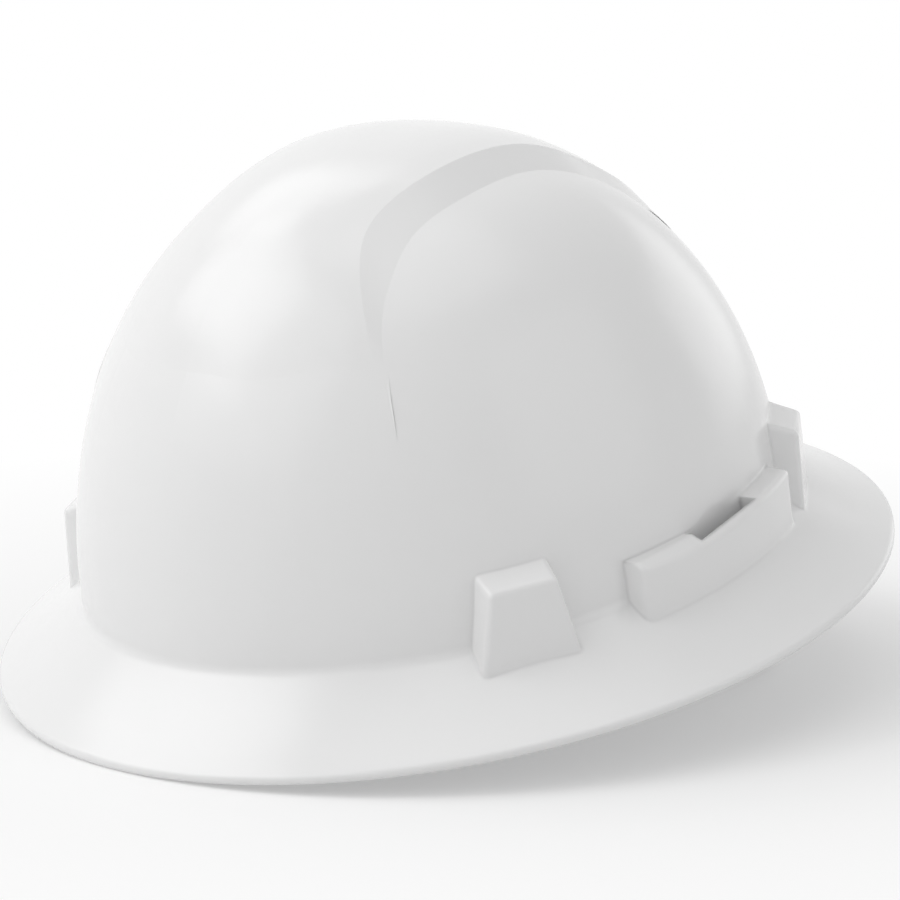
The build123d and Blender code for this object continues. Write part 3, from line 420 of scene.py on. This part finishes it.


# Padded cloth facing with rows of small punched holes, painted near black as painted shade inside
# the holes
def facing():
    made, tree, shader = material("pad_facing")
    uv = tree.nodes.new("ShaderNodeTexCoord").outputs["UV"]
    split = tree.nodes.new("ShaderNodeSeparateXYZ")
    tree.links.new(uv, split.inputs[0])
    waves = []
    for axis in ("X", "Y"):
        turns = maths(tree, "MULTIPLY", split.outputs[axis], 2 * pi / HOLE_PITCH)
        waves.append(maths(tree, "SINE", turns))
    dots = maths(tree, "MULTIPLY", waves[0], waves[1])
    hole_and_shade = ramp(tree, dots, HOLE_FROM, HOLE_FULL)
    knit = effect_of(tree, WEAVE, {"Threads Across": 2.2, "Threads Along": 2.2})
    # The holes are painted near black: painted shade inside them
    tint(tree, shader, hole_and_shade, (0.045, 0.047, 0.05), (0.006, 0.006, 0.006))
    depth = maths(tree, "SUBTRACT", maths(tree, "MULTIPLY", knit.outputs["Height"], 0.35), hole_and_shade)
    bump(tree, shader, depth, 0.0004)
    shader.inputs["Roughness"].default_value = 0.85
    shader.inputs["Sheen Weight"].default_value = 0.25
    return made


screw_steel, strap_webbing = steel(), webbing()
sewing_thread, pad_facing = thread_cotton(), facing()

NODE_FINISH = {
    "shell": shell_plastic,
    "crown_rivet": trim_plastic,
    "key_front_left": band_plastic, "key_front_right": band_plastic,
    "key_rear_left": band_plastic, "key_rear_right": band_plastic,
    "height_pegs": trim_plastic,
    "headband": band_plastic,
    "rack_left": band_plastic, "rack_right": band_plastic,
    "ratchet_housing": trim_plastic, "ratchet_cover": trim_plastic,
    "cover_screws": screw_steel, "knob_screw": screw_steel,
    "pinion": gear_plastic, "detent_spring": gear_plastic,
    "knob": knob_plastic,
}
for node, finish in NODE_FINISH.items():
    mesh = frame["nodes"][node].data
    mesh.materials.clear()
    mesh.materials.append(finish)


# The place of a key on the dome's foot
def key_place(turn, side, rear):
    t = radians(turn)
    ahead = FOOT_LONG * cos(t)
    return Vector((side * FOOT_WIDE * sin(t), FOOT_Y + (ahead if rear else -ahead), 0))


# One line of stitches, each a short thread that dips into the cloth at both ends
def stitches(name, places):
    made = []
    for begin, finish, up in places:
        bpy.ops.object.select_all(action="DESELECT")
        bpy.ops.mesh.primitive_uv_sphere_add(segments=8, ring_count=6, radius=1)
        thread = bpy.context.object
        length = (finish - begin).length
        shape = Matrix.Diagonal((THREAD * 0.5, THREAD * 0.5, length * 0.5, 1))
        turn = (finish - begin).to_track_quat("Z", "X").to_matrix().to_4x4()
        middle = (begin + finish) / 2 + up * THREAD * THREAD_PROUD
        thread.data.transform(Matrix.Translation(middle) @ turn @ shape)
        made.append(thread)
    line = joined(name, made)
    line.data.materials.append(sewing_thread)
    smooth(line, 180)
    return line


# A woven strap from the front key over the crown to the rear key, with a rolled hem in each key.
# lower is how far it passes under the crown's height.
def strap(name, front, rear, lower):
    share = front.x / (front.x - rear.x)
    cross = front.lerp(rear, share)
    ahead = (front - cross).normalized()
    aside = Vector((-ahead.y, ahead.x, 0))
    reach_front = (front - cross).length - STRAP_IN_FRONT
    reach_rear = (rear - cross).length - STRAP_IN_REAR
    crown = STRAP_CROWN_Z - lower
    drop = STRAP_SPRING_Z - STRAP_END_Z
    quarter = (reach_front + crown - STRAP_SPRING_Z) * pi / 4
    span = drop + quarter

    # A place on the strap's middle line by its length from the crown, with its outward direction
    def line(length):
        side = 1 if length > 0 else -1
        reach = reach_front if side > 0 else reach_rear
        gone = abs(length)
        if gone > quarter:
            height = Vector((0, 0, STRAP_SPRING_Z - (gone - quarter)))
            return cross + ahead * side * reach + height, ahead * side
        t = pi / 2 * gone / quarter
        height = Vector((0, 0, STRAP_SPRING_Z + (crown - STRAP_SPRING_Z) * cos(t)))
        spot = cross + ahead * side * reach * sin(t) + height
        out = ahead * side * sin(t) / reach + Vector((0, 0, cos(t) / (crown - STRAP_SPRING_Z)))
        return spot, out.normalized()

    def rule(across, along):
        spot, out = line(along * span)
        edge = abs(across) ** 8 * SELVEDGE
        return spot + aside * across * STRAP_WIDE / 2 + out * edge

    web = grid(name, *STRAP_GRID)
    measured_uv(web, STRAP_WIDE / 2, span)
    bend(web, rule)
    thicken(web, STRAP_THICK, SHEET_ROUND)
    hems = []
    for side, reach in ((1, reach_front), (-1, reach_rear)):
        bpy.ops.object.select_all(action="DESELECT")
        bpy.ops.mesh.primitive_cube_add(size=1)
        hem = bpy.context.object
        turn = Matrix((ahead, aside, Vector((0, 0, 1)))).transposed().to_4x4()
        size = Matrix.Diagonal((HEM_THICK, STRAP_WIDE, HEM_TALL, 1))
        middle = cross + ahead * side * reach + Vector((0, 0, STRAP_END_Z + HEM_TALL / 2))
        hem.data.transform(Matrix.Translation(middle) @ turn @ size)
        roll = hem.modifiers.new("roll", "BEVEL")
        roll.width = HEM_THICK * HEM_ROLL_SHARE
        roll.segments = 5
        apply_modifiers(hem)
        hems.append(hem)
    web.data.materials.append(strap_webbing)
    web = joined(name, [*hems, web])
    smooth(web, 50)
    places = []
    for side in (1, -1):
        for row in STRAP_ROWS:
            length = side * (span - HEM_TALL - LAP - row - STRAP_ROWS_OFF)
            spot, out = line(length)
            for k in range(STRAP_STITCHES):
                off = aside * (k - STRAP_STITCH_MIDDLE) * STRAP_PITCH
                begin = spot + off + out * STRAP_THICK / 2
                places.append((begin, begin + aside * STRAP_STITCH_LONG, out))
    sewn = stitches(name + "_stitches", places)
    for piece in (web, sewn):
        stand(piece)
        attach(piece, "hat")
    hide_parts(name)


front_left = key_place(POCKET_FRONT_TURN, 1, False)
front_right = key_place(POCKET_FRONT_TURN, -1, False)
rear_left = key_place(POCKET_REAR_TURN, 1, True)
rear_right = key_place(POCKET_REAR_TURN, -1, True)
strap("strap_left", front_left, rear_right, 0.0)
strap("strap_right", front_right, rear_left, STRAP_THICK + 2 * LAP)


# A stuffed strip: its back lies on a curved wall and its face is crowned, with a seam all round.
# wall gives, by a share from -1 to 1, a place on the wall and the direction towards the head.
def pad(name, wall, length, low, high, thick, seam, body):
    middle, half = (low + high) / 2, (high - low) / 2

    # The height narrows towards the ends, which rounds the corners
    def corner(along, up):
        round_long = half * CORNER_SHARE
        past = max(0.0, (abs(along) * length - (length - round_long)) / round_long)
        round_up = sqrt(max(0.0, 1 - past ** 2))
        return up * (END_SHARE + (1 - END_SHARE) * round_up)

    def crowned(along, up):
        edge = min((1 - abs(along)) * length, (1 - abs(up)) * half)
        rise = 1 - (1 - min(1.0, edge / (thick * SOFT_SHARE))) ** SOFT_POWER
        groove = GROOVE_DEEP * exp(-((edge - seam) / GROOVE_WIDE_MM) ** 2)
        crown = 1 - CROWN_SHARE + CROWN_SHARE * (1 - up ** 2)
        return thick * (rise * crown - groove)

    def face(up, along):
        spot, inward = wall(along)
        height = Vector((0, 0, middle + half * corner(along, up)))
        return spot + inward * crowned(along, up) + height

    def back(up, along):
        spot, inward = wall(along)
        return spot + Vector((0, 0, middle + half * corner(along, up)))

    sides = []
    for rule in (face, back):
        side = grid(name, *PAD_GRID)
        measured_uv(side, half, length)
        bend(side, rule)
        sides.append(side)
    cushion = joined(name, sides)
    outward(cushion)
    smooth(cushion, 60)
    cushion.data.materials.append(pad_facing)
    places = []
    count = int(length / SEAM_PITCH)
    for level in (-1, 1):
        up = level * (1 - seam / half)
        for k in range(-count, count):
            a = (k + SEAM_BEGIN) / count * SEAM_REACH_SHARE
            b = (k + SEAM_END) / count * SEAM_REACH_SHARE
            places.append((face(up, a), face(up, b), wall(a)[1]))
    sewn = stitches(name + "_stitches", places)
    for piece in (cushion, sewn):
        stand(piece)
        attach(piece, body)
    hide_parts(name)


# The inside of the head band at the brow
def brow_wall(share):
    inset = BAND_THICK + PAD_LIFT
    t = radians(BROW_TURN) * share
    long, wide = BAND_LONG - inset, BAND_WIDE - inset
    spot = Vector((wide * sin(t), -long * cos(t), 0))
    inward = Vector((-sin(t) / wide, cos(t) / long, 0)).normalized()
    return spot, inward


# The face of the ratchet's cover
def nape_wall(share):
    t = radians(PAD_TURN) * share
    r = COVER_R - LAP
    return Vector((r * sin(t), NAPE_Y + r * cos(t), 0)), Vector((-sin(t), -cos(t), 0))


pad("brow_pad", brow_wall, BAND_LONG * radians(BROW_TURN) * BROW_REACH_SHARE,
    BROW_LOW_Z, BROW_TOP_Z, BROW_THICK, BROW_SEAM, "hat")
pad("nape_pad", nape_wall, COVER_R * radians(PAD_TURN),
    NAPE_Z - PAD_HALF, NAPE_Z + PAD_HALF, PAD_THICK, NAPE_SEAM, "ratchet")


# A thin strip from the band's side to the mouth of the housing. Its lower stretch lies on the
# rack's arc.
def tail(name, r, side):
    start = radians(TAIL_TURN)
    off = RACK_THICK / 2 + TAIL_LIFT
    wide, long = BAND_WIDE + off, BAND_LONG + off
    middle_r = r + RACK_THICK / 2
    lead = TAIL_LEAD_ARC / middle_r
    begin = Vector((side * wide * sin(start), -long * cos(start), 0))
    finish = Vector((side * middle_r * sin(lead), NAPE_Y + middle_r * cos(lead), 0))
    leave = Vector((side * cos(start) * wide, long * sin(start), 0)).normalized()
    arrive = Vector((-side * cos(lead), sin(lead), 0))
    reach = (finish - begin).length
    lead_share = reach / (reach + middle_r * (lead - radians(HOUSE_TURN)))

    def line(share):
        if share > lead_share:
            turn = lead + (radians(HOUSE_TURN) - lead) * (share - lead_share) / (1 - lead_share)
            return Vector((side * middle_r * sin(turn), NAPE_Y + middle_r * cos(turn), NAPE_Z))
        t = share / lead_share
        a, b = t ** 2, t ** 3
        spot = ((2 * b - 3 * a + 1) * begin + (b - 2 * a + t) * leave * reach
                + (3 * a - 2 * b) * finish + (b - a) * arrive * reach)
        gone = (spot.y - begin.y) / (finish.y - begin.y)
        drop = gone ** 2 * (3 - 2 * gone)
        spot.z = (BAND_LOW_Z + RACK_HALF) * (1 - drop) + NAPE_Z * drop
        return spot

    def rule(across, along):
        return line((along + 1) / 2) + Vector((0, 0, across * TAIL_HALF))

    strip = grid(name, *TAIL_GRID)
    bend(strip, rule)
    thicken(strip, TAIL_THICK, SHEET_ROUND)
    smooth(strip, 50)
    strip.data.materials.append(band_plastic)
    stand(strip)
    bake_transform(strip)
    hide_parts(name)


tail("tail_left", RACK_LEFT_R, 1)
tail("tail_right", RACK_RIGHT_R, -1)


# Studio: a pale floor with the hat's shadow, white beyond it, and large soft boxes.
# shown gives 1 for the rays that show the background, seen straight, mirrored or through glass.
def shown(tree):
    rays = tree.nodes.new("ShaderNodeLightPath").outputs
    straight = maths(tree, "MAXIMUM", rays["Is Camera Ray"], rays["Is Transmission Ray"])
    return maths(tree, "MAXIMUM", straight, rays["Is Glossy Ray"])


def white_beyond(world):
    tree = world.node_tree
    shade = tree.nodes["Background"]
    shade.inputs["Color"].default_value = (1, 1, 1, 1)
    level = tree.nodes.new("ShaderNodeMix")
    level.inputs["A"].default_value = WORLD_LEVEL
    level.inputs["B"].default_value = 1.0
    tree.links.new(shown(tree), level.inputs["Factor"])
    tree.links.new(level.outputs["Result"], shade.inputs["Strength"])


def floor():
    bpy.ops.object.select_all(action="DESELECT")
    bpy.ops.mesh.primitive_plane_add(size=FLOOR_SIZE)
    ground = bpy.context.object
    ground.name = "studio_floor"
    made, tree, shader = material("floor_white")
    shader.inputs["Base Color"].default_value = (0.9, 0.9, 0.9, 1)
    shader.inputs["Roughness"].default_value = 0.9
    shader.inputs["Specular IOR Level"].default_value = 0.0
    place = tree.nodes.new("ShaderNodeTexCoord").outputs["Object"]
    far = tree.nodes.new("ShaderNodeVectorMath")
    far.operation = "LENGTH"
    tree.links.new(place, far.inputs[0])
    whitened = ramp(tree, far.outputs["Value"], FLOOR_NEAR, FLOOR_FAR, FLOOR_LEAST)
    share = maths(tree, "MULTIPLY", shown(tree), whitened)
    glow = tree.nodes.new("ShaderNodeEmission")
    glow.inputs["Strength"].default_value = 1.0
    mix = tree.nodes.new("ShaderNodeMixShader")
    tree.links.new(share, mix.inputs["Fac"])
    tree.links.new(shader.outputs[0], mix.inputs[1])
    tree.links.new(glow.outputs[0], mix.inputs[2])
    tree.links.new(mix.outputs[0], tree.nodes["Material Output"].inputs["Surface"])
    ground.data.materials.append(made)


# A soft box is brightest at its middle and fades towards its edges
def soft_box(name, place, aim, width, height, power):
    data = bpy.data.lights.new(name, "AREA")
    data.shape = "RECTANGLE"
    data.size, data.size_y, data.energy = width, height, power
    data.use_nodes = True
    tree = data.node_tree
    split = tree.nodes.new("ShaderNodeSeparateXYZ")
    tree.links.new(tree.nodes.new("ShaderNodeNewGeometry").outputs["Parametric"], split.inputs[0])
    fades = []
    for axis in ("X", "Y"):
        off = maths(tree, "SUBTRACT", maths(tree, "MULTIPLY", split.outputs[axis], 2.0), 1.0)
        lost = maths(tree, "POWER", maths(tree, "ABSOLUTE", off), FADE_POWER)
        fades.append(maths(tree, "SUBTRACT", 1.0, lost))
    fade = maths(tree, "MULTIPLY", maths(tree, "MULTIPLY", fades[0], fades[1]), FADE_GAIN)
    tree.links.new(fade, tree.nodes["Emission"].inputs["Strength"])
    lamp = bpy.data.objects.new(name, data)
    bpy.context.scene.collection.objects.link(lamp)
    lamp.location = place
    lamp.visible_camera = False
    lamp.rotation_mode = "QUATERNION"
    lamp.rotation_quaternion = (Vector(aim) - Vector(place)).to_track_quat("-Z", "Y")


scene = bpy.context.scene
scene.view_settings.view_transform = "Standard"
scene.world = bpy.data.worlds.new("studio")
scene.world.use_nodes = True
white_beyond(scene.world)
floor()

AIM = (0.0, 0.0, 0.08)
soft_box("key_box", (-1.3, -1.2, 1.95), AIM, 2.9, 2.0, 22)
soft_box("front_box", (-0.6, -2.3, 1.9), AIM, 4.0, 3.0, 20)
soft_box("top_box", (0.5, 0.0, 2.6), AIM, 2.2, 2.2, 8)
soft_box("side_box", (2.4, 0.8, 1.1), AIM, 2.4, 2.4, 7)
soft_box("rear_box", (0.15, 2.4, 0.65), AIM, 1.8, 1.2, 4)
soft_box("far_box", (-1.6, 0.45, 2.0), AIM, 1.5, 1.5, 5)

# The camera looks at the middle of the rim, slightly from above and from the hat's left front
CAMERA_FAR = 1.327
CAMERA_WAY = Vector((0.64671, -0.72832, 0.22653))
LENS, SENSOR = 164.86, 36.0
SHIFT_X, SHIFT_Y = -0.0019, 0.1553
camera_data = bpy.data.cameras.new("camera")
camera = bpy.data.objects.new("camera", camera_data)
scene.collection.objects.link(camera)
camera_data.lens, camera_data.sensor_width = LENS, SENSOR
camera_data.shift_x, camera_data.shift_y = SHIFT_X, SHIFT_Y
camera.location = ORIGIN + CAMERA_WAY * CAMERA_FAR
camera.rotation_mode = "QUATERNION"
camera.rotation_quaternion = (-CAMERA_WAY).to_track_quat("-Z", "Y")
scene.camera = camera
